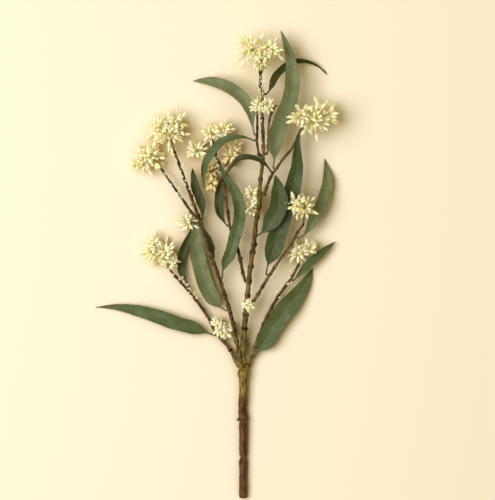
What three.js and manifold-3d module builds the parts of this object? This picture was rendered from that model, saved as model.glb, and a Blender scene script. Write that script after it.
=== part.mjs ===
// A cut flowering eucalyptus branch, lying on a flat surface.
// Millimetres. +Y runs from the cut end of the stem towards the crown, +X is to its right and +Z is up.
// Woody shoots, leaves with their stalks and umbels of buds are separate pieces, set a small gap apart.
// Routes are drawn from the cut end of the stem; the finished group is then moved over its own centre.
import * as THREE from "three";
import { mergeVertices } from "three/addons/utils/BufferGeometryUtils.js";
import Module from "manifold-3d";

const wasm = await Module();
wasm.setup();

// Driving dimensions
const SHOOT_SIDES = 7; // sides of a woody shoot's section
const SHOOT_STEP = 14; // length of a shoot between two of its rings
const LEAF_SIDES = 6; // corners of a leaf's flattened section
const LEAF_RINGS = 13;
const LEAF_THICKNESS = 1.3; // at the midrib
const LEAF_FOLD = 0.17; // rise of a blade's margins for each millimetre of half width
const STALK_RADIUS = 0.9; // of a leaf's stalk
const STALK_SHARE = 0.1; // part of a leaf's length that is stalk
const BUD_SIDES = 4;
const BUD_LENGTH = 10.5;
const BUD_RADIUS = 2.0;
const PEDICEL_RADIUS = 0.7; // of the thread that carries a bud
const HUB_RADIUS = 1.9; // of the knob that an umbel's buds spring from
const CLEARANCE = 0.5; // kept between a bud and its neighbours
const KEEP_OUT_STEP = 2.5; // spacing of the points that buds keep clear of
const LEAF_KEEP_OUT = 2.1; // radius of such a point on a leaf
const BUD_ATTEMPTS = 7; // directions tried for each bud before it is left out

const UP = new THREE.Vector3(0, 0, 1);
const GOLDEN_ANGLE = Math.PI * (3 - Math.sqrt(5));

const bark = new THREE.MeshStandardMaterial({ color: 0x5c4122, roughness: 0.85, metalness: 0 });
const greenBark = new THREE.MeshStandardMaterial({ color: 0x6b5a2a, roughness: 0.8, metalness: 0 });
const leafGreen = new THREE.MeshStandardMaterial({ color: 0x5f7048, roughness: 0.6, metalness: 0 });
const leafOlive = new THREE.MeshStandardMaterial({ color: 0x47501f, roughness: 0.65, metalness: 0 });
const petalCream = new THREE.MeshStandardMaterial({ color: 0xf2e8bd, roughness: 0.7, metalness: 0 });

const branch = new THREE.Group();

function curveThrough(points) {
  return new THREE.CatmullRomCurve3(points.map((p) => new THREE.Vector3(...p)));
}

// Carries a lathe along a curve: its axis follows the curve, and place(radius, angle, u) gives
// how far a point lies to the right of the curve and above it.
function bendAlong(curve, lathe, length, place) {
  const position = lathe.getAttribute("position");
  for (let i = 0; i < position.count; i++) {
    const u = THREE.MathUtils.clamp(position.getY(i) / length, 0, 1);
    const radius = Math.hypot(position.getX(i), position.getZ(i));
    const angle = Math.atan2(position.getZ(i), position.getX(i));
    const forward = curve.getTangentAt(u);
    const right = forward.clone().cross(UP).normalize();
    const above = right.clone().cross(forward);
    const [across, rise] = place(radius, angle, u);
    const point = curve.getPointAt(u).addScaledVector(right, across).addScaledVector(above, rise);
    position.setXYZ(i, point.x, point.y, point.z);
  }
  lathe.computeVertexNormals();
  return lathe;
}

// Points that later buds have to keep clear of, each with a radius
const occupied = [];

function occupy(point, radius) {
  occupied.push({ point: point.clone(), radius });
}

function addMesh(name, geometry, material) {
  const mesh = new THREE.Mesh(geometry, material);
  mesh.name = name;
  branch.add(mesh);
}

// A woody shoot: a round, tapering solid along a route. A swelling is [share of length, radius, half length].
function addShoot(name, route, startRadius, endRadius, material = bark, swellings = []) {
  const curve = curveThrough(route);
  const length = curve.getLength();
  const radiusAt = (u) => {
    const taper = THREE.MathUtils.lerp(startRadius, endRadius, u);
    const swelling = swellings.find(([at, , half]) => Math.abs(u - at) * length < half * 0.5);
    return swelling ? swelling[1] : taper;
  };
  const stations = new Set([0.004, 0.996]);
  const count = Math.max(3, Math.round(length / SHOOT_STEP));
  for (let i = 1; i < count; i++) stations.add(i / count);
  for (const [at, , half] of swellings)
    for (const offset of [-1, 0, 1]) stations.add(at + (offset * half) / length);
  const rings = [...stations].filter((u) => u > 0 && u < 1).sort((a, b) => a - b);
  const profile = [new THREE.Vector2(0, 0)];
  for (const u of rings) profile.push(new THREE.Vector2(radiusAt(u), u * length));
  profile.push(new THREE.Vector2(0, length));
  const place = (radius, angle) => [radius * Math.cos(angle), radius * Math.sin(angle)];
  addMesh(name, bendAlong(curve, new THREE.LatheGeometry(profile, SHOOT_SIDES), length, place), material);
  const samples = Math.ceil(length / 2);
  for (let i = 0; i <= samples; i++) occupy(curve.getPointAt(i / samples), radiusAt(i / samples));
}

// How wide a leaf is at a share u of its length, as a share of its greatest width: a round stalk,
// then a blade that widens fast and tapers to a long point. A smaller taper widens it nearer the stalk.
function bladeWidth(u, taper) {
  if (u <= STALK_SHARE) return 0;
  const v = (u - STALK_SHARE) / (1 - STALK_SHARE);
  return Math.min(1, 1.06 * Math.pow(Math.sin(Math.PI * Math.pow(v, taper)), 0.72) + 0.05 * (1 - v));
}

// A leaf with its stalk, along its midrib. roll turns the blade about the midrib, from base to tip, in degrees.
function addLeaf(name, route, width, { roll = [0, 0], taper = 0.82, material = leafGreen } = {}) {
  const curve = curveThrough(route);
  const length = curve.getLength();
  const profile = [new THREE.Vector2(0, 0)];
  for (let i = 0; i <= LEAF_RINGS; i++) {
    const blade = THREE.MathUtils.lerp(STALK_SHARE * 0.6, 0.985, (i - 1) / (LEAF_RINGS - 1));
    const u = i === 0 ? 0.006 : blade;
    profile.push(new THREE.Vector2(1, u * length));
  }
  profile.push(new THREE.Vector2(0, length));
  const section = (radius, angle, u) => {
    const half = Math.max(STALK_RADIUS, (bladeWidth(u, taper) * width) / 2);
    const thick = Math.max(LEAF_THICKNESS / 2, STALK_RADIUS * (1 - u / STALK_SHARE));
    const across = radius * half * Math.cos(angle);
    const rise = radius * thick * Math.sin(angle) + LEAF_FOLD * Math.abs(across) * bladeWidth(u, taper);
    const turn = THREE.MathUtils.degToRad(THREE.MathUtils.lerp(roll[0], roll[1], u));
    return [across * Math.cos(turn) - rise * Math.sin(turn), across * Math.sin(turn) + rise * Math.cos(turn)];
  };
  addMesh(name, bendAlong(curve, new THREE.LatheGeometry(profile, LEAF_SIDES), length, section), material);
  const samples = Math.ceil(length / KEEP_OUT_STEP);
  for (let i = 0; i <= samples; i++) {
    const u = i / samples;
    const half = Math.max(STALK_RADIUS, (bladeWidth(u, taper) * width) / 2);
    const forward = curve.getTangentAt(u);
    const right = forward.clone().cross(UP).normalize();
    const above = right.clone().cross(forward);
    const steps = Math.max(1, Math.ceil(half / KEEP_OUT_STEP));
    for (let k = -steps; k <= steps; k++) {
      const [across, rise] = section(Math.abs(k) / steps, k < 0 ? Math.PI : 0, u);
      const point = curve.getPointAt(u).addScaledVector(right, across).addScaledVector(above, rise);
      occupy(point, LEAF_KEEP_OUT);
    }
  }
}

function solidOf(geometry) {
  const bare = geometry.clone();
  for (const attribute of ["normal", "uv"]) bare.deleteAttribute(attribute);
  const merged = mergeVertices(bare, 1e-4);
  const vertProperties = new Float32Array(merged.getAttribute("position").array);
  return new wasm.Manifold(
    new wasm.Mesh({ numProp: 3, vertProperties, triVerts: new Uint32Array(merged.index.array) }),
  );
}

function geometryOf(solid) {
  const mesh = solid.getMesh();
  const geometry = new THREE.BufferGeometry();
  geometry.setAttribute("position", new THREE.BufferAttribute(new Float32Array(mesh.vertProperties), 3));
  geometry.setIndex(new THREE.BufferAttribute(new Uint32Array(mesh.triVerts), 1));
  geometry.computeVertexNormals();
  return geometry;
}

// A round solid from one point to another, with rings of [share of length, radius]
function spindle(from, to, rings, sides) {
  const length = from.distanceTo(to);
  const profile = [new THREE.Vector2(0, 0)];
  for (const [share, radius] of rings) profile.push(new THREE.Vector2(radius, share * length));
  profile.push(new THREE.Vector2(0, length));
  const geometry = new THREE.LatheGeometry(profile, sides);
  const turn = new THREE.Quaternion().setFromUnitVectors(
    new THREE.Vector3(0, 1, 0),
    to.clone().sub(from).normalize(),
  );
  geometry.applyQuaternion(turn);
  return geometry.translate(from.x, from.y, from.z);
}

function isClear(from, to, radius, own) {
  for (let i = 3; i <= 8; i++) {
    const point = from.clone().lerp(to, i / 8);
    const reach = i < 5 ? PEDICEL_RADIUS : radius;
    if (point.z < reach * (1 - i / 8) + (i === 8 ? 0 : 0.2)) return false;
    for (const other of occupied) {
      if (other.owner === own) continue;
      if (point.distanceTo(other.point) < reach + other.radius + CLEARANCE) return false;
    }
  }
  return true;
}

// An umbel: buds that fan out from a hub, evenly over a cap that faces the given way. prop is a bud
// that stands on the surface.
function umbelBuds(hub, { facing = [0, 0.3, 1], count = 7, reach = 16, spread = 115, turn = 0, prop = false }) {
  const centre = new THREE.Vector3(...hub);
  const aim = new THREE.Quaternion().setFromUnitVectors(UP, new THREE.Vector3(...facing).normalize());
  const cap = 1 - Math.cos(THREE.MathUtils.degToRad(spread));
  const buds = [];
  if (prop) buds.push({ tip: new THREE.Vector3(centre.x, centre.y + 1, 0), scale: 1 });
  for (let i = 0; i < count; i++) {
    const scale = 1 - 0.16 * ((i * 0.618 + turn) % 1);
    for (let attempt = 0; attempt < BUD_ATTEMPTS; attempt++) {
      const height = 1 - (cap * (i + 0.35 + attempt * 0.13)) / count;
      const around = turn * 2 * Math.PI + i * GOLDEN_ANGLE + attempt * 0.37;
      const flat = Math.sqrt(Math.max(0, 1 - height * height));
      const direction = new THREE.Vector3(flat * Math.cos(around), flat * Math.sin(around), height);
      const tip = centre.clone().addScaledVector(direction.applyQuaternion(aim), reach * scale);
      if (isClear(centre, tip, BUD_RADIUS, hub)) {
        buds.push({ tip, scale });
        break;
      }
    }
  }
  return buds.map((bud) => ({ ...bud, centre }));
}

// A cluster of umbels on one branching stalk. hubs is [[x, y, z], settings] for each umbel.
function addFlowers(name, foot, hubs) {
  const pieces = [];
  let from = new THREE.Vector3(...foot);
  for (const [hub, settings] of hubs) {
    const centre = new THREE.Vector3(...hub);
    pieces.push(spindle(from, centre, [[0.03, 0.8], [0.97, 0.9]], BUD_SIDES));
    pieces.push(new THREE.IcosahedronGeometry(HUB_RADIUS, 0).translate(...hub));
    for (const { tip, scale } of umbelBuds(hub, settings)) {
      const length = BUD_LENGTH * scale;
      const base = Math.max(0.12, 1 - length / centre.distanceTo(tip));
      const widest = base + (1 - base) * 0.55;
      const root = centre.clone().lerp(tip, (0.6 * HUB_RADIUS) / centre.distanceTo(tip));
      pieces.push(
        spindle(root, tip, [[base, PEDICEL_RADIUS], [widest, BUD_RADIUS * scale]], BUD_SIDES),
      );
      for (let i = 2; i <= 8; i++) {
        const point = centre.clone().lerp(tip, i / 8);
        occupied.push({ point, radius: i < 4 ? PEDICEL_RADIUS : BUD_RADIUS, owner: hub });
      }
    }
    from = new THREE.Vector3(...hubs[0][0]);
  }
  const joined = pieces.map(solidOf).reduce((whole, piece) => whole.add(piece));
  addMesh(name, geometryOf(joined), petalCream);
}

// Woody shoots, each from the fork it springs from to its tip
addShoot(
  "main_stem",
  [[-1, 0.5, 4.9], [-1, 51, 5.4], [-1, 101, 6.2], [-2, 111, 6.5], [-1, 130, 7.3], [-1, 163.5, 9.6]],
  4.9,
  5.3,
  bark,
  [[0.31, 3.6, 5], [0.615, 6, 4], [0.68, 4, 4], [0.955, 7.4, 6]],
);
addShoot(
  "leader",
  [
    [-1, 165.6, 9.6], [0, 205, 14], [2.5, 231, 18], [5, 257.5, 22], [7.5, 284, 25], [12, 316, 28.5],
    [16, 351, 31], [19.5, 366, 32], [19.5, 386, 33], [24, 426, 34], [23.5, 461, 35], [22.5, 487, 35.5],
    [23.5, 504, 36], [21, 518, 36.5], [20.5, 536, 37],
  ],
  3.1,
  1.3,
  greenBark,
  [[0.07, 3.7, 4], [0.2, 3.3, 3], [0.945, 2.6, 3]],
);
addShoot(
  "left_shoot",
  [
    [-4.2, 166.5, 15], [-7.5, 186, 15], [-11.6, 210, 15.3], [-18, 236, 15.8], [-26, 261, 17],
    [-34, 285, 18], [-44, 314, 20], [-54, 345, 22], [-62, 367.5, 22.5], [-68, 383, 23], [-77.5, 409, 23],
    [-87, 434, 22.5],
  ],
  2.2,
  1.4,
);
addShoot(
  "left_side_twig",
  [[-60.6, 353.3, 21], [-67, 360, 19.5], [-74, 371, 17.5], [-85, 386, 15], [-98, 405, 13], [-104, 413.5, 12.5]],
  1.4,
  1.1,
);
addShoot(
  "low_left_shoot",
  [
    [-7, 165.6, 8], [-12, 176, 7.5], [-22, 193, 7.2], [-34, 205, 7.2], [-45, 227, 7.5], [-60.6, 249, 8],
    [-78.5, 270, 10], [-92, 285.5, 12],
  ],
  1.9,
  1.1,
);
addShoot(
  "low_right_shoot",
  [[5, 165.6, 9], [8, 175, 9], [20, 206, 8.2], [32, 234, 8.2], [46, 257.5, 10], [58, 274, 11.5], [68.6, 293, 13]],
  1.9,
  1.2,
);
addShoot(
  "right_shoot",
  [[8, 243, 19.5], [12.5, 248, 20], [28, 273, 21], [44, 298, 22], [59.5, 319, 22], [67, 333, 22], [74, 343, 22.5]],
  1.7,
  1.2,
  greenBark,
);
addShoot(
  "inner_left_shoot",
  [
    [1.3, 274, 23], [-2, 287, 23.2], [-8, 314, 22], [-17, 339, 20], [-20.5, 362, 19], [-24, 386, 18],
    [-27, 412, 18], [-33, 424, 18], [-39, 447, 18],
  ],
  1.7,
  1.2,
);
addShoot(
  "upper_right_shoot",
  [
    [24.6, 380, 33], [27.5, 389, 34], [32.5, 399, 35], [37.5, 410, 36], [44, 417, 35], [52, 429, 32],
    [60, 438, 29], [70, 460, 30],
  ],
  1.6,
  1.1,
  greenBark,
);
addShoot(
  "top_side_shoot",
  [[19.3, 430, 34.2], [16.8, 442, 35], [16, 456, 35.6], [17.2, 466, 36], [16.6, 477, 36.5]],
  1.3,
  1,
);
addShoot(
  "crown_twig",
  [[28.6, 431, 34.3], [30.6, 444, 34.5], [30.8, 468, 34], [35, 484, 33.5], [39, 491, 33]],
  1.2,
  0.9,
  greenBark,
);

// Leaves, each from the foot of its stalk to its tip
addLeaf(
  "leaf_crown",
  [
    [36.3, 414, 37.4], [38, 426, 38.5], [39, 449, 38.5], [46, 471, 37], [55, 492, 34.5], [60, 514, 32],
    [60, 536, 29.5], [56, 559, 27], [46, 585, 24],
  ],
  22,
  { roll: [-8, 10], taper: 0.66 },
);
addLeaf(
  "leaf_crown_rear",
  [
    [27.3, 504.5, 36.5], [32.5, 511, 34.5], [39, 527, 29], [50, 539, 23], [65, 547.5, 16],
    [80, 547.5, 10], [95, 541, 4], [104, 532.5, 0.5],
  ],
  10.5,
  { roll: [10, -30], material: leafOlive, taper: 0.5 },
);
addLeaf(
  "leaf_upper_left",
  [
    [12.8, 455, 35.8], [10.8, 467, 36.5], [7.5, 485, 36.5], [-1, 500, 34], [-14, 511, 29],
    [-30, 519, 22], [-46, 523, 12], [-63, 524, 1],
  ],
  17,
  { roll: [6, -6] },
);
addLeaf(
  "leaf_arched",
  [
    [12.4, 447.5, 35], [1, 451.5, 36.5], [-15, 451, 36], [-27.5, 446, 34], [-39, 434, 31],
    [-47.5, 420, 28], [-50.6, 405, 25], [-50, 389, 22],
  ],
  11,
  { roll: [-30, 5] },
);
addLeaf(
  "leaf_crescent",
  [
    [34.4, 408, 39], [27.5, 417, 41], [20, 422.5, 41.5], [12.5, 425.6, 41], [-5, 425.6, 39],
    [-14, 417, 36.5], [-19.5, 410, 34.5], [-24, 404, 33],
  ],
  8.5,
  { roll: [-25, -35], material: leafOlive },
);
addLeaf(
  "leaf_centre",
  [
    [-27, 276.5, 19], [-26, 287, 22.5], [-21, 299.5, 27], [-16, 309, 29.5], [-12, 326, 31.5],
    [-7, 342.5, 32], [-5, 359, 31.5], [-7.5, 374, 30.5], [-14, 389, 29], [-22.5, 402.5, 27.5],
    [-32.5, 421, 24.5],
  ],
  17.5,
  { roll: [5, -10], taper: 0.78 },
);
addLeaf(
  "leaf_centre_rear",
  [
    [-21, 341.5, 18.6], [-26, 349, 16], [-30.6, 361, 13.5], [-31, 379, 12], [-27.5, 395, 11.5],
    [-25.6, 409, 11.5],
  ],
  13,
  { material: leafOlive },
);
addLeaf(
  "leaf_inner_left",
  [
    [-51.4, 350, 21.3], [-52, 362, 19.5], [-55.6, 377, 18], [-60, 387, 17], [-62.5, 400, 16.5],
    [-64.4, 413, 16.5],
  ],
  12.5,
  { material: leafOlive },
);
addLeaf(
  "leaf_sliver",
  [[-36.8, 303, 21], [-39.5, 314, 25], [-44.4, 326, 26], [-51, 339, 26]],
  8.5,
  { roll: [-35, -35], material: leafOlive },
);
addLeaf(
  "leaf_left_long",
  [
    [-22.4, 235.5, 14.6], [-27, 238, 14], [-35, 246, 13.5], [-46, 264, 13.5], [-52.5, 284, 14],
    [-58, 305, 14.5], [-60.6, 326, 15], [-58.8, 355, 14],
  ],
  22,
  { roll: [4, -4], taper: 0.72 },
);
addLeaf(
  "leaf_left_rear",
  [
    [-69, 265.5, 10], [-73, 274, 9.5], [-77.5, 282, 9], [-79, 295, 8], [-75.6, 311, 7],
    [-69, 326, 6.5], [-60, 346, 6],
  ],
  12,
  { material: leafOlive },
);
addLeaf(
  "leaf_low_left",
  [
    [-37.6, 204.2, 7], [-46, 207.5, 8], [-65, 214.5, 9.5], [-86, 220, 10], [-105, 227, 8.5],
    [-130, 234, 6], [-155, 239, 3], [-185, 239.5, 0.8],
  ],
  21,
  { roll: [3, -3] },
);
addLeaf(
  "leaf_right_front",
  [
    [17.8, 330, 31], [24, 334, 33.5], [30, 341, 35], [39, 355, 37.5], [43.5, 368, 39], [42.5, 386, 41],
    [39, 404, 43],
  ],
  26,
  { roll: [8, -12] },
);
addLeaf(
  "leaf_right_long",
  [
    [27.6, 281, 22.8], [31, 296, 24], [34.5, 305, 25], [40, 324, 26.5], [46, 346, 27.5], [55, 370, 29],
    [61, 392, 31], [66, 417, 33.5], [65.6, 439, 35], [70, 461, 35.5],
  ],
  25,
  { roll: [0, -15], taper: 0.66 },
);
addLeaf(
  "leaf_right_outer",
  [
    [68.6, 326.2, 21.6], [76, 331, 20.5], [86, 347.5, 19], [95, 364, 17], [101, 380, 13.5],
    [105, 399, 8.5], [102, 425.6, 0.6],
  ],
  17,
);
addLeaf(
  "leaf_low_right",
  [
    [12.8, 177.5, 9], [18, 185, 9.5], [27, 198, 10.5], [35, 212.5, 11], [49, 232.5, 10.5],
    [62.5, 249, 8.5], [75, 266, 5.5], [86, 287.5, 1],
  ],
  27,
  { taper: 0.74 },
);
addLeaf(
  "leaf_low_right_small",
  [
    [61.8, 272.5, 12], [66, 277, 12.3], [74, 286, 13], [84.5, 297, 12.5], [97.5, 308, 10.5],
    [114, 321, 6],
  ],
  12,
);

// Flowers, each cluster from the foot of its stalk
addFlowers("flowers_crown", [20.5, 537.5, 37.2], [
  [[20.5, 546, 37], { count: 6, reach: 14, turn: 0.1 }],
  [[10, 560, 35], { count: 9, reach: 18, turn: 0.4 }],
  [[32, 561, 32], { count: 7, reach: 15, turn: 0.7 }],
]);
addFlowers("flowers_right", [70.8, 462, 30.2], [
  [[86, 472, 33], { count: 10, reach: 19, turn: 0.2 }],
  [[71, 479, 39], { count: 8, reach: 17, turn: 0.55 }],
  [[100, 481, 28], { count: 8, reach: 17, turn: 0.9 }],
]);
addFlowers("flowers_left", [-87.6, 436, 22.6], [
  [[-92, 455, 23], { count: 9, reach: 18, turn: 0.3 }],
  [[-106, 462, 18], { count: 7, reach: 15, turn: 0.6 }],
  [[-83, 470, 19], { count: 7, reach: 15, turn: 0.05 }],
]);
addFlowers("flowers_far_left", [-105, 415.2, 12.5], [
  [[-117, 428, 13.5], { count: 8, reach: 16, turn: 0.15, prop: true }],
  [[-128, 420, 12], { count: 7, reach: 14, turn: 0.5 }],
]);
addFlowers("flowers_inner_left", [-39.4, 448.8, 18], [
  [[-41, 457, 18], { count: 7, reach: 15, turn: 0.35 }],
  [[-26, 461, 16], { count: 6, reach: 13, turn: 0.8 }],
  [[-60, 436, 14], { count: 7, reach: 14, turn: 0.65 }],
]);
addFlowers("flowers_rear_upper", [-24.4, 409.5, 17], [
  [[-17, 428, 13], { count: 7, reach: 13, turn: 0.25 }],
  [[-11, 440, 14], { count: 5, reach: 11, turn: 0.45 }],
]);
addFlowers("flowers_rear_lower", [-31.4, 415.5, 16.3], [
  [[-42, 410, 9.5], { count: 6, reach: 12, turn: 0.12 }],
  [[-41, 396, 9.5], { count: 7, reach: 13, turn: 0.6 }],
]);
addFlowers("flowers_centre", [14, 352.5, 29.4], [
  [[8, 365, 23], { count: 7, reach: 13, turn: 0.42 }],
  [[9, 381, 23], { count: 5, reach: 11, turn: 0.22 }],
]);
addFlowers("flowers_left_small", [-56.4, 346, 20.5], [
  [[-70, 346, 14], { count: 7, reach: 14, turn: 0.85 }],
]);
addFlowers("flowers_low_left", [-92.8, 287.3, 12.2], [
  [[-100, 306, 13.5], { count: 8, reach: 16, turn: 0.75, prop: true }],
  [[-112, 314, 12], { count: 7, reach: 14, turn: 0.33 }],
  [[-90, 297, 13], { count: 5, reach: 12, turn: 0.58 }],
]);
addFlowers("flowers_fork_left", [-31.5, 205.6, 8.2], [
  [[-32, 216, 12.5], { count: 7, reach: 13, turn: 0.28 }],
  [[-23, 209, 11.5], { count: 6, reach: 12, turn: 0.7 }],
]);
addFlowers("flowers_right_upper", [74.8, 344.6, 22.7], [
  [[76, 364, 26], { count: 8, reach: 16, turn: 0.5 }],
  [[66, 368, 35], { count: 6, reach: 16, turn: 0.05, facing: [-0.5, 0.3, 1] }],
]);
addFlowers("flowers_right_lower", [69.3, 294.9, 13.1], [
  [[70, 308, 13.5], { count: 7, reach: 15, turn: 0.8, prop: true }],
  [[82, 313, 16], { count: 6, reach: 12, turn: 0.3 }],
]);
addFlowers("flowers_top_side", [16.6, 478.6, 36.6], [[[16.5, 489, 38], { count: 7, reach: 12, turn: 0.66 }]]);
addFlowers("flowers_leader", [26.2, 487, 36], [[[30, 491, 39], { count: 6, reach: 12, turn: 0.36 }]]);
addFlowers("flowers_leader_low", [5.2, 240.5, 22.9], [[[7, 243.5, 26.5], { count: 4, reach: 9, turn: 0.9 }]]);

// The origin lies under the middle of the branch, on the surface.
const bounds = new THREE.Box3().setFromObject(branch);
const centre = bounds.getCenter(new THREE.Vector3());
branch.position.set(-centre.x, -centre.y, -bounds.min.z);

const part = new THREE.Group();
part.add(branch);
export default part;
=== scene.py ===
# A cut flowering eucalyptus branch lying on a cream surface. Metres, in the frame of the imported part:
# +Y along the stem from the cut end to the crown, +X to its right, +Z up from the surface.
import math
import random

import bmesh
import bpy
from mathutils import Matrix, Vector, noise


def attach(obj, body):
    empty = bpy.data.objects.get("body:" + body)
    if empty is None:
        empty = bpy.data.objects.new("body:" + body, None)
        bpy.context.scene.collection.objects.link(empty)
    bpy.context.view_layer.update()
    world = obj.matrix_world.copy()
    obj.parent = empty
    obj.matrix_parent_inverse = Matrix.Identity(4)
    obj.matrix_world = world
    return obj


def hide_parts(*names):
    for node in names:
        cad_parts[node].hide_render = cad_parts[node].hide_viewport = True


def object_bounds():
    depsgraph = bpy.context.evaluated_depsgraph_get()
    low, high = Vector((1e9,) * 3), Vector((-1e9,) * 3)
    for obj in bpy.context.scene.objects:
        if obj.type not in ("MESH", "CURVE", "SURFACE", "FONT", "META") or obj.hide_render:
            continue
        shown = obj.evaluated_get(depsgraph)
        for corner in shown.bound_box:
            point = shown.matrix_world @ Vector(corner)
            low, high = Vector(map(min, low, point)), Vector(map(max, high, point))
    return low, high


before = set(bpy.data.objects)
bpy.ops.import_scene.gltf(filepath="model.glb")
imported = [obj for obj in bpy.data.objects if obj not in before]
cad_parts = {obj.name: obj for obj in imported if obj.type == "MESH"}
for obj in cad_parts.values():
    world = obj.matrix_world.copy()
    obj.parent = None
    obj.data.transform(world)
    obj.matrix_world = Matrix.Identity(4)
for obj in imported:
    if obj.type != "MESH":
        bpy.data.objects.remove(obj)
cad_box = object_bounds()


# ---------------------------------------------------------------- The table top and the light
# The branch lies on a sheet of cream card, with painted shade close under it. A large soft window light
# comes from the left, and the room gives a warm fill. The view is straight down, through a long lens.
MM = 0.001
view_height = 625 * MM
view_centre = Vector((40 * MM, 18.5 * MM, 20 * MM))
lens = 180
sensor = 36
camera_data = bpy.data.cameras.new("camera")
camera_data.lens = lens
camera_data.sensor_width = sensor
camera_data.clip_end = 50
camera = bpy.data.objects.new("camera", camera_data)
camera.location = view_centre + Vector((0, 0, view_height * lens / sensor))
bpy.context.scene.collection.objects.link(camera)
bpy.context.scene.camera = camera
bpy.context.scene.view_settings.view_transform = "Standard"


def lin(red, green, blue):
    """A colour given as it looks on screen, 0 to 255, turned into the linear colour that shaders use."""
    def channel(value):
        value /= 255
        return value / 12.92 if value <= 0.04045 else ((value + 0.055) / 1.055) ** 2.4
    return (channel(red), channel(green), channel(blue), 1)


def new_material(name):
    material = bpy.data.materials.new(name)
    material.use_nodes = True
    nodes = material.node_tree.nodes
    return material, nodes, material.node_tree.links, nodes["Principled BSDF"]


def add_area_light(name, location, size, power, colour):
    data = bpy.data.lights.new(name, "AREA")
    data.size = size
    data.energy = power
    data.color = colour
    light = bpy.data.objects.new(name, data)
    light.location = location
    light.rotation_euler = (-Vector(location)).to_track_quat("-Z", "Y").to_euler()
    bpy.context.scene.collection.objects.link(light)


add_area_light("window", (-1.75, 0.2, 3.0), 2.5, 139, (0.95, 0.93, 0.98))
world = bpy.data.worlds.new("room")
world.use_nodes = True
world.node_tree.nodes["Background"].inputs["Color"].default_value = (1.0, 0.83, 0.34, 1)
world.node_tree.nodes["Background"].inputs["Strength"].default_value = 0.35
bpy.context.scene.world = world

card, nodes, links, shader = new_material("cream_card")
# Painted shade: close under the branch the card is painted a warm, dim tone by an ambient occlusion node.
shade = nodes.new("ShaderNodeAmbientOcclusion")
shade.samples = 24
shade.inputs["Distance"].default_value = 65 * MM
openness = nodes.new("ShaderNodeMapRange")
openness.inputs["From Min"].default_value = 0.1
openness.inputs["From Max"].default_value = 0.84
links.new(shade.outputs["AO"], openness.inputs["Value"])
tone = nodes.new("ShaderNodeMix")
tone.data_type = "RGBA"
tone.inputs["A"].default_value = lin(190, 168, 100)
tone.inputs["B"].default_value = lin(246, 236, 214)
links.new(openness.outputs["Result"], tone.inputs["Factor"])
links.new(tone.outputs["Result"], shader.inputs["Base Color"])
shader.inputs["Roughness"].default_value = 0.95
shader.inputs["Specular IOR Level"].default_value = 0.15
bm = bmesh.new()
bmesh.ops.create_grid(bm, x_segments=1, y_segments=1, size=6)
floor_mesh = bpy.data.meshes.new("card_sheet")
bm.to_mesh(floor_mesh)
bm.free()
floor_mesh.materials.append(card)
floor = bpy.data.objects.new("card_sheet", floor_mesh)
floor.location.z = cad_box[0].z - 0.1 * MM
bpy.context.scene.collection.objects.link(floor)


# ---------------------------------------------------------------- Woody shoots
# Every shoot is round, tapering wood with a ridged brown skin, darker and swollen at the joints where
# leaves once sat, and greener where it is young. Short spurs of old leaf stalks stand at some joints.
bark_colours = {
    "brown": {"skin": lin(60, 40, 17), "dark": lin(22, 11, 2), "pale": lin(126, 98, 50)},
    "stem": {"skin": lin(88, 54, 28), "dark": lin(40, 21, 8), "pale": lin(126, 88, 48)},
    "green": {"skin": lin(84, 62, 23), "dark": lin(28, 15, 2), "pale": lin(150, 124, 62)},
}
green_shoots = {"leader", "right_shoot", "upper_right_shoot", "crown_twig"}
rng = random.Random(11)
slender = 4 * MM
ring_step = 1.6 * MM
tube_sides = 14


def spine_of(node):
    """The rings of points that a bent round solid is made of, from its foot to its tip."""
    bm = bmesh.new()
    bm.from_mesh(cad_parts[node].data)
    bmesh.ops.remove_doubles(bm, verts=bm.verts, dist=2e-6)
    for start in bm.verts:
        levels = [[start]]
        seen = {start}
        while levels[-1]:
            ring = []
            for vert in levels[-1]:
                for edge in vert.link_edges:
                    other = edge.other_vert(vert)
                    if other not in seen:
                        seen.add(other)
                        ring.append(other)
            levels.append(ring)
        levels.pop()
        if len(levels[-1]) == 1 and len({len(ring) for ring in levels[1:-1]}) == 1:
            break
    rings = [[vert.co.copy() for vert in ring] for ring in levels]
    bm.free()
    spread = [sum((point - sum(ring, Vector()) / len(ring)).length for point in ring) for ring in rings]
    is_leaf = node.startswith("leaf")
    if (spread[2] > spread[-3]) == is_leaf:
        rings.reverse()
    return rings


def wood_near(point, own):
    """The nearest place on the middle line of any other shoot, if it is close enough to be the parent."""
    found = None
    nearest = 9 * MM
    for name, line in wood_lines.items():
        for place in line:
            if name != own and (place - point).length < nearest:
                found = place
                nearest = (place - point).length
    return found


def blend_at(values, share):
    """A smooth value between the given ones, at a share of the way from the first to the last."""
    place = max(0.0, min(1.0, share)) * (len(values) - 1)
    i = min(int(place), len(values) - 2)
    t = place - i
    a, b = values[max(i - 1, 0)], values[i]
    c, d = values[i + 1], values[min(i + 2, len(values) - 1)]
    bend = (2 * a - 5 * b + 4 * c - d) * t ** 2
    twist = (3 * b - a - 3 * c + d) * t ** 3
    return 0.5 * (2 * b + (c - a) * t + bend + twist)


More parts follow.
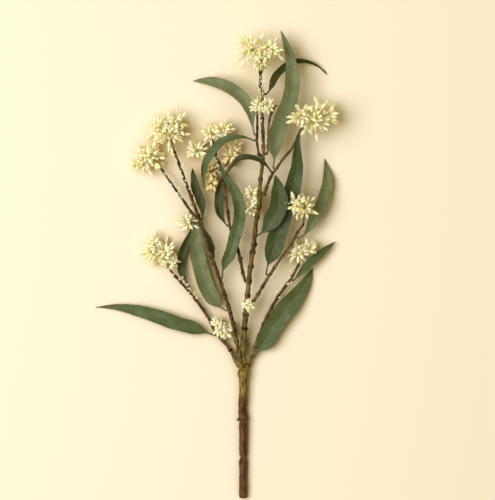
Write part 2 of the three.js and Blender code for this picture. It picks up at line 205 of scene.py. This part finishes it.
def grow_tube(bm, spine, radii, sides):
    """Extrudes a ring along a spine and closes both ends. Returns the rings of vertices."""
    forward = (spine[1] - spine[0]).normalized()
    place = Matrix.Translation(spine[0]) @ forward.to_track_quat("Z", "Y").to_matrix().to_4x4()
    verts = bmesh.ops.create_circle(bm, segments=sides, radius=radii[0], matrix=place)["verts"]
    edges = list({edge for vert in verts for edge in vert.link_edges})
    bmesh.ops.contextual_create(bm, geom=edges)
    rings = [verts]
    for i in range(1, len(spine)):
        made = bmesh.ops.extrude_edge_only(bm, edges=edges)["geom"]
        verts = [item for item in made if isinstance(item, bmesh.types.BMVert)]
        moved = set(verts)
        edges = [e for e in made if isinstance(e, bmesh.types.BMEdge) and moved.issuperset(e.verts)]
        after = spine[min(i + 1, len(spine) - 1)] - spine[i - 1]
        swing = forward.rotation_difference(after).to_matrix().to_4x4()
        forward = after.normalized()
        grow = Matrix.Diagonal((radii[i] / radii[i - 1],) * 3).to_4x4()
        step = Matrix.Translation(spine[i]) @ swing @ grow @ Matrix.Translation(-spine[i - 1])
        bmesh.ops.transform(bm, matrix=step, verts=verts)
        rings.append(verts)
    bmesh.ops.contextual_create(bm, geom=edges)
    return rings


def finish_piece(name, bm, materials, node, sharp=50):
    """Turns a bmesh into the piece that stands for a CAD node."""
    for vert in bm.verts:
        vert.co.z = max(vert.co.z, 0.1 * MM)
    bmesh.ops.recalc_face_normals(bm, faces=bm.faces)
    mesh = bpy.data.meshes.new(name)
    bm.to_mesh(mesh)
    bm.free()
    for material in materials:
        mesh.materials.append(material)
    mesh.polygons.foreach_set("use_smooth", [True] * len(mesh.polygons))
    mesh.set_sharp_from_angle(angle=math.radians(sharp))
    piece = bpy.data.objects.new(name, mesh)
    bpy.context.scene.collection.objects.link(piece)
    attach(piece, "root")
    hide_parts(node)
    return piece


def make_mottle_group():
    """Soft patches that vary a surface: one socket for the broad patches and one for the fine grain."""
    group = bpy.data.node_groups.new("mottle", "ShaderNodeTree")
    group.interface.new_socket("Vector", in_out="INPUT", socket_type="NodeSocketVector")
    group.interface.new_socket("Patch Scale", in_out="INPUT", socket_type="NodeSocketFloat")
    group.interface.new_socket("Grain Scale", in_out="INPUT", socket_type="NodeSocketFloat")
    group.interface.new_socket("Patches", in_out="OUTPUT", socket_type="NodeSocketFloat")
    group.interface.new_socket("Grain", in_out="OUTPUT", socket_type="NodeSocketFloat")
    enter = group.nodes.new("NodeGroupInput")
    leave = group.nodes.new("NodeGroupOutput")
    for scale, output, detail in (("Patch Scale", "Patches", 3), ("Grain Scale", "Grain", 5)):
        texture = group.nodes.new("ShaderNodeTexNoise")
        texture.inputs["Detail"].default_value = detail
        stretch = group.nodes.new("ShaderNodeMapRange")
        stretch.inputs["From Min"].default_value = 0.32
        stretch.inputs["From Max"].default_value = 0.68
        group.links.new(enter.outputs["Vector"], texture.inputs["Vector"])
        group.links.new(enter.outputs[scale], texture.inputs["Scale"])
        group.links.new(texture.outputs["Fac"], stretch.inputs["Value"])
        group.links.new(stretch.outputs["Result"], leave.inputs[output])
    return group


mottle = make_mottle_group()


def add_mottle(nodes, links, vector, patch_scale, grain_scale):
    node = nodes.new("ShaderNodeGroup")
    node.node_tree = mottle
    node.inputs["Patch Scale"].default_value = patch_scale
    node.inputs["Grain Scale"].default_value = grain_scale
    links.new(vector, node.inputs["Vector"])
    return node


def mix_colours(nodes, links, factor, first, second):
    """A colour mix: each of first and second is a colour or a socket."""
    node = nodes.new("ShaderNodeMix")
    node.data_type = "RGBA"
    links.new(factor, node.inputs["Factor"])
    for socket, value in ((node.inputs["A"], first), (node.inputs["B"], second)):
        if isinstance(value, tuple):
            socket.default_value = value
        else:
            links.new(value, socket)
    return node.outputs["Result"]


def number(nodes, links, operation, first, second=None):
    """A Math node: each of first and second is a number or a socket."""
    node = nodes.new("ShaderNodeMath")
    node.operation = operation
    for socket, value in zip(node.inputs, (first, second)):
        if value is None:
            continue
        if isinstance(value, (int, float)):
            socket.default_value = value
        else:
            links.new(value, socket)
    return node.outputs["Value"]


def weighted(nodes, links, value, factor):
    return number(nodes, links, "MULTIPLY", value, factor)


def step_up(nodes, links, value, low, high):
    """0 below low, 1 above high, and smooth between."""
    node = nodes.new("ShaderNodeMapRange")
    node.interpolation_type = "SMOOTHSTEP"
    node.inputs["From Min"].default_value = low
    node.inputs["From Max"].default_value = high
    links.new(value, node.inputs["Value"])
    return node.outputs["Result"]


def make_bark(name, skin, dark, pale):
    material, nodes, links, shader = new_material(name)
    object_place = nodes.new("ShaderNodeTexCoord").outputs["Object"]
    patches = add_mottle(nodes, links, object_place, 95, 900)
    long_way = nodes.new("ShaderNodeMapping")
    long_way.inputs["Scale"].default_value = (1, 0.22, 1)
    links.new(object_place, long_way.inputs["Vector"])
    ridges = add_mottle(nodes, links, long_way.outputs["Vector"], 420, 1500)
    joint = nodes.new("ShaderNodeAttribute")
    joint.attribute_name = "joint"
    worn = mix_colours(nodes, links, patches.outputs["Patches"], skin, pale)
    furrows = weighted(nodes, links, ridges.outputs["Patches"], 0.85)
    ridged = mix_colours(nodes, links, furrows, worn, dark)
    split = nodes.new("ShaderNodeSeparateXYZ")
    links.new(object_place, split.inputs["Vector"])
    rising = step_up(nodes, links, split.outputs["Y"], -170 * MM, -158 * MM)
    above_fork = step_up(nodes, links, split.outputs["Y"], -125 * MM, -70 * MM)
    falling = number(nodes, links, "SUBTRACT", 1, above_fork)
    near_fork = number(nodes, links, "MULTIPLY", rising, falling)
    smooth_skin = step_up(nodes, links, ridges.outputs["Patches"], 1.1, 0.2)
    green_skin = weighted(nodes, links, number(nodes, links, "MULTIPLY", near_fork, smooth_skin), 0.8)
    ridged = mix_colours(nodes, links, green_skin, ridged, lin(146, 128, 58))
    darkness = step_up(nodes, links, joint.outputs["Fac"], 0.15, 0.9)
    links.new(mix_colours(nodes, links, darkness, ridged, dark), shader.inputs["Base Color"])
    bump = nodes.new("ShaderNodeBump")
    bump.inputs["Strength"].default_value = 0.6
    bump.inputs["Distance"].default_value = 0.4 * MM
    links.new(ridges.outputs["Patches"], bump.inputs["Height"])
    links.new(bump.outputs["Normal"], shader.inputs["Normal"])
    links.new(step_up(nodes, links, patches.outputs["Grain"], -1.2, 1.6), shader.inputs["Roughness"])
    shader.inputs["Specular IOR Level"].default_value = 0.25
    return material


wood_lines = {}
for shoot in [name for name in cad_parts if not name.startswith(("leaf", "flowers"))]:
    wood_middles = [sum(ring, Vector()) / len(ring) for ring in spine_of(shoot)]
    wood_lines[shoot] = [blend_at(wood_middles, i / 80) for i in range(81)]
barks = {kind: make_bark(kind + "_bark", **colours) for kind, colours in bark_colours.items()}


def make_shoot(node):
    rings = spine_of(node)
    centres = [sum(ring, Vector()) / len(ring) for ring in rings]
    widths = [(ring[0] - centre).length for ring, centre in zip(rings, centres)]
    widths[0], widths[-1] = widths[1], widths[-2]
    parent = wood_near(centres[0], node)
    if parent is not None and node != "main_stem":
        centres[0] = parent
    length = sum((b - a).length for a, b in zip(centres, centres[1:]))
    steps = int(length / ring_step)
    spine = [blend_at(centres, i / steps) for i in range(steps + 1)]
    thick = widths[len(widths) // 2]
    swelling = 0.2 if thick < slender else 0.09
    joints = []
    place = rng.uniform(5, 12) * MM
    while place < length - 4 * MM:
        joints.append((place / length, rng.uniform(0, 2 * math.pi), rng.uniform(0.7, 1.3)))
        place += rng.uniform(7, 15) * MM if thick < slender else rng.uniform(26, 44) * MM
    if node == "main_stem":
        joints = [(0.515, math.pi, 1.3), (0.344, 0.1, 1.0)]
    radii = []
    for i in range(steps + 1):
        radius = max(0.6 * MM, blend_at(widths, i / steps))
        radius *= 1.22 if thick < slender else 1.0
        for at, _, size in joints:
            radius *= 1 + swelling * size * math.exp(-((i / steps - at) * length / (1.5 * MM)) ** 2)
        radii.append(radius)
    bm = bmesh.new()
    joint_layer = bm.verts.layers.float.new("joint")
    made = grow_tube(bm, spine, radii, tube_sides)
    for i, ring in enumerate(made):
        for vert in ring:
            out = vert.co - spine[i]
            swell = 0
            for at, angle, size in joints:
                near = math.exp(-((i / steps - at) * length / (1.7 * MM)) ** 2)
                facing = math.cos(math.atan2(out.z, out.x) - angle)
                swell += near * size * (0.35 + 0.65 * max(0, facing) ** 2)
            long_place = Vector((vert.co.x * 420, vert.co.y * 110, vert.co.z * 420))
            ridge = noise.noise(long_place) * 0.13 + noise.noise(vert.co * 900) * 0.06
            ridge += noise.noise(vert.co * 210 + Vector((7, 3, 5))) * (0.26 if thick < slender else 0.1)
            vert.co = spine[i] + out * (1 + ridge + 0.22 * min(swell, 1.4))
            vert[joint_layer] = min(1, swell)
    for at, angle, size in joints:
        if rng.random() < 0.6 or thick > slender:
            centre = blend_at(centres, at)
            forward = (blend_at(centres, at + 0.01) - centre).normalized()
            side = Vector((math.cos(angle), 0, math.sin(angle)))
            side = (side - forward * side.dot(forward)).normalized()
            reach = blend_at(widths, at) + rng.uniform(1.2, 2.6) * MM * size
            tip = centre + side * reach + forward * 1.6 * MM
            spur = [centre, centre.lerp(tip, 0.55), centre.lerp(tip, 0.85), tip]
            spur_radius = min(0.9 * MM, blend_at(widths, at) * 0.6)
            spur_radii = [spur_radius * share for share in (1, 0.8, 0.7, 0.3)]
            for ring in grow_tube(bm, spur, spur_radii, 7):
                for vert in ring:
                    vert[joint_layer] = 0.8
    slot = "green_bark" if node in green_shoots else "brown_bark"
    kind = "stem" if node == "main_stem" else slot.split("_")[0]
    finish_piece(node + "_wood", bm, [barks[kind]], node)


shoots = [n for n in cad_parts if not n.startswith(("leaf", "flowers"))]
for shoot in sorted(shoots):
    make_shoot(shoot)


# ---------------------------------------------------------------- Leaves
# Long sickle-shaped leaves, leathery and dull sage green, with a paler midrib, faint slanting side veins
# and small pale specks. Each hangs from a round stalk that runs on under the blade as its midrib.
# Sage is the leaf colour. Grey is a paler, greyer copy of it that is painted light, dark is a darker copy that
# is painted shade, and olive is the darker, yellower underside colour with painted shade.
leaf_colours = {
    "sage": {
        "face": lin(80, 96, 52), "deep": lin(54, 70, 33),
        "bloom": lin(110, 122, 76), "rib": lin(104, 112, 68),
    },
    "grey": {
        "face": lin(106, 116, 72), "deep": lin(82, 93, 54),
        "bloom": lin(132, 137, 98), "rib": lin(126, 128, 86),
    },
    "dark": {
        "face": lin(64, 80, 40), "deep": lin(44, 58, 24),
        "bloom": lin(92, 106, 62), "rib": lin(94, 102, 58),
    },
    "olive": {
        "face": lin(58, 64, 20), "deep": lin(36, 42, 8),
        "bloom": lin(82, 88, 40), "rib": lin(92, 92, 44),
    },
}
# Which leaves take painted light or painted shade: olive for undersides and leaves in shade, dark for shaded
# leaves, grey for lit leaves.
underside_and_shade_leaves = {
    "leaf_crown_rear", "leaf_crescent", "leaf_centre_rear", "leaf_inner_left", "leaf_sliver", "leaf_left_rear",
}
painted_shade_leaves = {"leaf_right_front", "leaf_right_long"}
painted_light_leaves = {"leaf_crown", "leaf_upper_left", "leaf_left_long", "leaf_right_outer"}
blunt_leaves = {
    "leaf_left_long", "leaf_low_right", "leaf_low_left", "leaf_crown", "leaf_right_long", "leaf_centre",
}
long_tip_leaves = {"leaf_low_left", "leaf_crown_rear"}
blade_thickness = 0.55 * MM
rows_across = 12
rows_along = 72


def make_leaf_material(name, face, deep, bloom, rib):
    material, nodes, links, shader = new_material(name)
    object_place = nodes.new("ShaderNodeTexCoord").outputs["Object"]
    patches = add_mottle(nodes, links, object_place, 70, 650)
    uv = nodes.new("ShaderNodeUVMap")
    uv.uv_map = "blade"
    split = nodes.new("ShaderNodeSeparateXYZ")
    links.new(uv.outputs["UV"], split.inputs["Vector"])
    across = number(nodes, links, "ABSOLUTE", number(nodes, links, "SUBTRACT", split.outputs["X"], 0.5))
    along = split.outputs["Y"]
    spaced = weighted(nodes, links, along, 34)
    slant = number(nodes, links, "SUBTRACT", spaced, weighted(nodes, links, across, 7))
    wobble = number(nodes, links, "ADD", slant, weighted(nodes, links, patches.outputs["Patches"], 0.6))
    vein = step_up(nodes, links, number(nodes, links, "PINGPONG", wobble, 0.5), 0.43, 0.5)
    midrib = step_up(nodes, links, weighted(nodes, links, across, -1), -0.05, -0.018)
    specks = nodes.new("ShaderNodeTexVoronoi")
    specks.inputs["Scale"].default_value = 260
    links.new(object_place, specks.inputs["Vector"])
    speck_near = weighted(nodes, links, specks.outputs["Distance"], -1)
    speck_size = step_up(nodes, links, speck_near, -0.2, -0.1)
    rare = step_up(nodes, links, patches.outputs["Grain"], 0.55, 0.9)
    speck = number(nodes, links, "MULTIPLY", speck_size, rare)
    colour = mix_colours(nodes, links, patches.outputs["Patches"], face, deep)
    grain = patches.outputs["Grain"]
    colour = mix_colours(nodes, links, weighted(nodes, links, grain, 0.4), colour, bloom)
    colour = mix_colours(nodes, links, weighted(nodes, links, vein, 0.22), colour, rib)
    colour = mix_colours(nodes, links, weighted(nodes, links, midrib, 0.3), colour, rib)
    edge = step_up(nodes, links, across, 0.46, 0.5)
    colour = mix_colours(nodes, links, weighted(nodes, links, edge, 0.5), colour, deep)
    colour = mix_colours(nodes, links, weighted(nodes, links, speck, 0.7), colour, lin(190, 200, 168))
    links.new(colour, shader.inputs["Base Color"])
    sunk_veins = weighted(nodes, links, vein, -0.5)
    relief = number(nodes, links, "ADD", sunk_veins, weighted(nodes, links, grain, 0.35))
    bump = nodes.new("ShaderNodeBump")
    bump.inputs["Strength"].default_value = 0.5
    bump.inputs["Distance"].default_value = 0.25 * MM
    links.new(number(nodes, links, "SUBTRACT", relief, midrib), bump.inputs["Height"])
    links.new(bump.outputs["Normal"], shader.inputs["Normal"])
    dull = weighted(nodes, links, patches.outputs["Patches"], 0.12)
    roughness = number(nodes, links, "ADD", dull, 0.5)
    links.new(roughness, shader.inputs["Roughness"])
    shader.inputs["Specular IOR Level"].default_value = 0.3
    return material


leaf_materials = {
    kind: make_leaf_material(kind + "_leaf", **colours) for kind, colours in leaf_colours.items()
}


def leaf_frame(rings):
    """For each inner ring of a leaf: the midrib point, half the width and the way to the right; also the foot
    and the tip.
    """
    centres = [sum(ring, Vector()) / len(ring) for ring in rings]
    frames = []
    for i in range(1, len(rings) - 1):
        ring = rings[i]
        forward = (centres[i + 1] - centres[i - 1]).normalized()
        level = forward.cross(Vector((0, 0, 1))).normalized()
        left, right = max(((a, b) for a in ring for b in ring), key=lambda pair: (pair[0] - pair[1]).length)
        if (right - left).dot(level) < 0:
            left, right = right, left
        rest = [point for point in ring if point is not left and point is not right]
        middle = 2 * sum(rest, Vector()) / len(rest) - (left + right) / 2
        frames.append((middle, (right - left).length / 2, (right - left).normalized()))
    return centres[0], frames, centres[-1]


def make_leaf(node):
    foot, frames, tip = leaf_frame(spine_of(node))
    middles = [foot] + [f[0] for f in frames] + [tip]
    halves = [0.9 * MM] + [f[1] for f in frames] + [0.15 * MM]
    rights = [frames[2][2]] + [f[2] for f in frames] + [frames[-1][2]]
    for i in range(3):
        rights[i] = frames[3][2]
    stalk_end = next(i for i, half in enumerate(halves) if half > 1.05 * MM) - 1
    base_share = stalk_end / (len(middles) - 1)
    widest = max(halves)
    seed = rng.uniform(0, 100)
    wave = rng.uniform(0.5, 1.0) * MM
    waves = rng.uniform(2.2, 3.6)
    bm = bmesh.new()
    uv_layer = bm.loops.layers.uv.new("blade")
    bmesh.ops.create_grid(bm, x_segments=rows_across, y_segments=rows_along, size=0.5, calc_uvs=True)
    for vert in bm.verts:
        across = vert.co.x * 2
        along = vert.co.y + 0.5
        share = base_share + (1 - base_share) * along
        middle = blend_at(middles, share)
        forward = (blend_at(middles, min(1, share + 0.01)) - blend_at(middles, share - 0.01)).normalized()
        right = blend_at(rights, share).normalized()
        above = right.cross(forward).normalized()
        half = max(0.1 * MM, blend_at(halves, share))
        if node in long_tip_leaves:
            half *= 1 - 0.4 * max(0, min(1, (along - 0.35) / 0.5))
        if node in blunt_leaves:
            half += widest * 0.3 * math.exp(-((along - 0.1) / 0.08) ** 2) * min(1, along / 0.04)
        edge_noise = noise.noise(Vector((seed + along * 26, across * 0.6, 0)))
        half *= 1 + 0.05 * edge_noise * abs(across)
        lift = half * (0.17 * abs(across) + 0.1 * across * across)
        ripple = wave * math.sin(2 * math.pi * waves * along + (seed if across > 0 else seed * 1.7))
        lift += ripple * abs(across) ** 2 * min(1, half / (5 * MM))
        lift += 0.25 * MM * noise.noise(vert.co * 9 + Vector((seed, 0, 0)))
        vert.co = middle + right * across * half + above * lift
    bmesh.ops.recalc_face_normals(bm, faces=bm.faces)
    bmesh.ops.solidify(bm, geom=bm.faces[:], thickness=blade_thickness)
    count = 26
    spine = [blend_at(middles, 0.86 * i / count) for i in range(count + 1)]
    radii = []
    for i in range(count + 1):
        share = 0.86 * i / count
        radii.append((1.0 if share < base_share else 0.75 * (1 - share) + 0.1) * MM)
    radii[0] = 1.35 * MM
    parent = wood_near(spine[0], node)
    if parent is not None:
        spine.insert(0, parent.lerp(spine[0], 0.25))
        radii.insert(0, 1.2 * MM)
    down = Vector((0, 0, -0.25 * MM))
    under_blade = len(spine) * base_share * 1.2
    spine = [point + (down if i > under_blade else Vector()) for i, point in enumerate(spine)]
    grow_tube(bm, spine, radii, 8)
    kinds = {"olive": underside_and_shade_leaves, "grey": painted_light_leaves, "dark": painted_shade_leaves}
    kind = next((kind for kind, members in kinds.items() if node in members), "sage")
    finish_piece(node + "_blade", bm, [leaf_materials[kind]], node)


leaves = sorted(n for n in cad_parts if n.startswith("leaf"))
for leaf in leaves:
    make_leaf(leaf)


# ---------------------------------------------------------------- Flower clusters
# Slender cream buds stand in full, loose umbels. Each grows on a thread from a small yellow-green knob at
# the end of a brown stalk, is widest past its middle and is drawn out to a point. Small ones fill between.
bud_length = 12.5 * MM
bud_radius = 2.3 * MM
# The rear clusters take the shaded bud colours: a darker, warmer copy of the cream buds, as painted shade.
shaded_flowers = {"flowers_rear_upper", "flowers_rear_lower"}
full_flowers = {"flowers_left", "flowers_far_left", "flowers_right", "flowers_low_left", "flowers_crown"}
trailing_flowers = {
    "flowers_left", "flowers_far_left", "flowers_inner_left", "flowers_low_left", "flowers_crown",
    "flowers_leader", "flowers_right_lower",
}
knob_radius = 1.9 * MM
stalk_radius = 0.95 * MM
thread_radius = 0.42 * MM
tip_clearance = 1.2 * MM


def make_bud_material(name, tip, body, base):
    material, nodes, links, shader = new_material(name)
    object_place = nodes.new("ShaderNodeTexCoord").outputs["Object"]
    patches = add_mottle(nodes, links, object_place, 160, 1400)
    along = nodes.new("ShaderNodeAttribute")
    along.attribute_name = "along"
    tone = nodes.new("ShaderNodeAttribute")
    tone.attribute_name = "tone"
    ripe = mix_colours(nodes, links, tone.outputs["Fac"], body, tip)
    ripe = mix_colours(nodes, links, weighted(nodes, links, patches.outputs["Patches"], 0.12), ripe, base)
    colour = mix_colours(nodes, links, step_up(nodes, links, along.outputs["Fac"], 0.05, 0.38), base, ripe)
    links.new(colour, shader.inputs["Base Color"])
    bump = nodes.new("ShaderNodeBump")
    bump.inputs["Strength"].default_value = 0.35
    bump.inputs["Distance"].default_value = 0.2 * MM
    links.new(patches.outputs["Grain"], bump.inputs["Height"])
    links.new(bump.outputs["Normal"], shader.inputs["Normal"])
    dull = weighted(nodes, links, patches.outputs["Grain"], 0.15)
    roughness = number(nodes, links, "ADD", dull, 0.55)
    links.new(roughness, shader.inputs["Roughness"])
    shader.inputs["Specular IOR Level"].default_value = 0.2
    shader.inputs["Subsurface Weight"].default_value = 0.75
    shader.inputs["Subsurface Radius"].default_value = (1.0, 0.8, 0.5)
    shader.inputs["Subsurface Scale"].default_value = 6 * MM
    return material


# The shaded buds are the cream buds with painted shade.
bud_materials = {
    "cream": make_bud_material("cream_bud", lin(255, 252, 218), lin(255, 243, 182), lin(254, 232, 142)),
    "shaded": make_bud_material("shaded_bud", lin(253, 236, 186), lin(244, 216, 152), lin(230, 196, 120)),
}


def bud_tips(node):
    """The tip and the way it points, for each bud of a flower cluster."""
    bm = bmesh.new()
    bm.from_mesh(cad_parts[node].data)
    bmesh.ops.remove_doubles(bm, verts=bm.verts, dist=2e-6)
    tips = []
    for vert in bm.verts:
        around = [edge.other_vert(vert).co for edge in vert.link_edges]
        back = sum(around, Vector()) / len(around) - vert.co
        longest = max((point - vert.co).length for point in around)
        if len(around) != 4 or longest < 3 * MM or longest > 8 * MM:
            continue
        if min((point - vert.co).normalized().dot(back.normalized()) for point in around) > 0.75:
            tips.append((vert.co.copy(), -back.normalized()))
    corners = [vert.co.copy() for vert in bm.verts]
    bm.free()
    return tips, corners


def springs_from(bud, spot):
    """Whether the line of a bud passes close to a spot, at a bud's reach behind its tip."""
    tip, aim = bud
    away = tip - spot
    return away.cross(aim).length < 0.9 * MM and 6 * MM < away.length < 22 * MM and away.dot(aim) > 0


def umbel_knobs(tips):
    """Where the lines of the buds come together, and which buds belong to each place."""
    free = list(tips)
    knobs = []
    while free:
        best = []
        for tip, aim in free:
            for reach in range(8, 21):
                spot = tip - aim * reach * MM
                group = [other for other in free if springs_from(other, spot)]
                if len(group) > len(best):
                    best, centre = group, spot
        knobs.append((centre, best))
        free = [item for item in free if item not in best]
        if len(best) < 3:
            knobs.pop()
    return knobs


def add_bud(bm, tip, aim, length, radius, layers, tone):
    """One bud: a slender spindle, widest past its middle. aim is the way that it points."""
    place = Matrix.Translation(tip - aim * length) @ aim.to_track_quat("Z", "Y").to_matrix().to_4x4()
    verts = bmesh.ops.create_uvsphere(bm, u_segments=6, v_segments=6, radius=0.5)["verts"]
    for vert in verts:
        up = vert.co.z + 0.5
        fullness = math.sin(math.pi * up ** 1.15) ** 0.85 if 0 < up < 1 else 0
        flat = math.hypot(vert.co.x, vert.co.y)
        if flat > 1e-6:
            vert.co.x *= radius * fullness / flat
            vert.co.y *= radius * fullness / flat
        vert.co.z = up * length
        vert[layers[0]] = 0.3 + 0.7 * up
        vert[layers[1]] = tone
    bmesh.ops.transform(bm, matrix=place, verts=verts)


def add_stalk(bm, start, end, radius, layers, sides, bow, material=0):
    """A thin stalk from one point to another, bowed by the given distance."""
    spine = [start.lerp(end, t) + bow * math.sin(math.pi * t) for t in (0, 0.33, 0.67, 1)]
    before = set(bm.faces)
    for ring in grow_tube(bm, spine, [radius * 1.3, radius, radius, radius * 1.1], sides):
        for vert in ring:
            vert[layers[0]] = 0.05
            vert[layers[1]] = 0.3
    for face in set(bm.faces) - before:
        face.material_index = material


def make_flowers(node):
    tips, corners = bud_tips(node)
    knobs = umbel_knobs(tips)
    bm = bmesh.new()
    layers = (bm.verts.layers.float.new("along"), bm.verts.layers.float.new("tone"))
    first = knobs[0][0]
    spread = [min((corner - knob).length for knob, _ in knobs) for corner in corners]
    away = []
    for corner, from_knob in zip(corners, spread):
        if from_knob > 3 * MM and min((corner - tip).length for tip, _ in tips) > 9 * MM:
            away.append(corner)
    wood = [place for line in wood_lines.values() for place in line if (place - first).length < 60 * MM]
    foot = min(wood, key=lambda place: min((place - corner).length for corner in (away or corners)))
    carrier = next(line for line in wood_lines.values() if foot in line)
    joined = [foot]
    for knob, group in sorted(knobs, key=lambda item: (item[0] - foot).length):
        start = min(joined, key=lambda point: (point - knob).length)
        joined.append(knob)
        rise = Vector((0, 0, 0.05 * (knob - start).length))
        add_stalk(bm, start, knob, stalk_radius, layers, 7, rise, 1 if start == foot else 0)
        centre = Matrix.Translation(knob)
        ball = bmesh.ops.create_icosphere(bm, subdivisions=2, radius=knob_radius, matrix=centre)
        for vert in ball["verts"]:
            vert[layers[0]] = 0.0
        facing = Vector((0, 0.25, 1)).normalized()
        full = node in full_flowers
        reach = max((tip - knob).length for tip, _ in group) * (1.2 if full else 1)
        aims = [((tip - knob).normalized(), (tip - knob).length) for tip, _ in group]
        for _ in range(160):
            if len(aims) >= (4.2 if full else 3.2) * len(group) + 6:
                break
            lean = Vector((rng.gauss(0, 1), rng.gauss(0, 1), rng.gauss(0, 1))).normalized()
            aim = (facing * 0.4 + lean).normalized()
            if min(aim.angle(other) for other, _ in aims) > (0.22 if full else 0.26):
                aims.append((aim, reach * rng.uniform(0.66, 1.34)))
        for aim, distance in aims:
            size = rng.uniform(0.8, 1.12)
            length = min(bud_length * size, distance - 2 * MM)
            tip = knob + aim * distance
            tip.z = max(tip_clearance, min(tip.z, cad_box[1].z + 4 * MM))
            aim = (tip - knob).normalized()
            add_bud(bm, tip, aim, length, bud_radius * size, layers, rng.random())
            bow = Vector((rng.uniform(-1, 1), rng.uniform(-1, 1), rng.uniform(-1, 0))) * 0.4 * MM
            add_stalk(bm, knob, tip - aim * (length - 0.8 * MM), thread_radius, layers, 5, bow)
    if node in trailing_flowers:
        for step in range(3, 15):
            on_wood = min(carrier, key=lambda place: abs((place - foot).length - step * 3.6 * MM))
            aim = Vector((rng.uniform(-1, 1), rng.uniform(0.2, 1), rng.uniform(0.1, 1))).normalized()
            tip = on_wood + aim * rng.uniform(6, 9.5) * MM
            length = rng.uniform(3.5, 6) * MM
            radius = rng.uniform(0.9, 1.4) * MM
            add_bud(bm, tip, aim, length, radius, layers, rng.random())
            add_stalk(bm, on_wood, tip - aim * 3 * MM, 0.4 * MM, layers, 5, Vector())
    kind = "shaded" if node in shaded_flowers else "cream"
    finish_piece(node + "_buds", bm, [bud_materials[kind], barks["green"]], node, sharp=80)


flowers = sorted(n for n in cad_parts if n.startswith("flowers"))
for cluster in flowers:
    make_flowers(cluster)
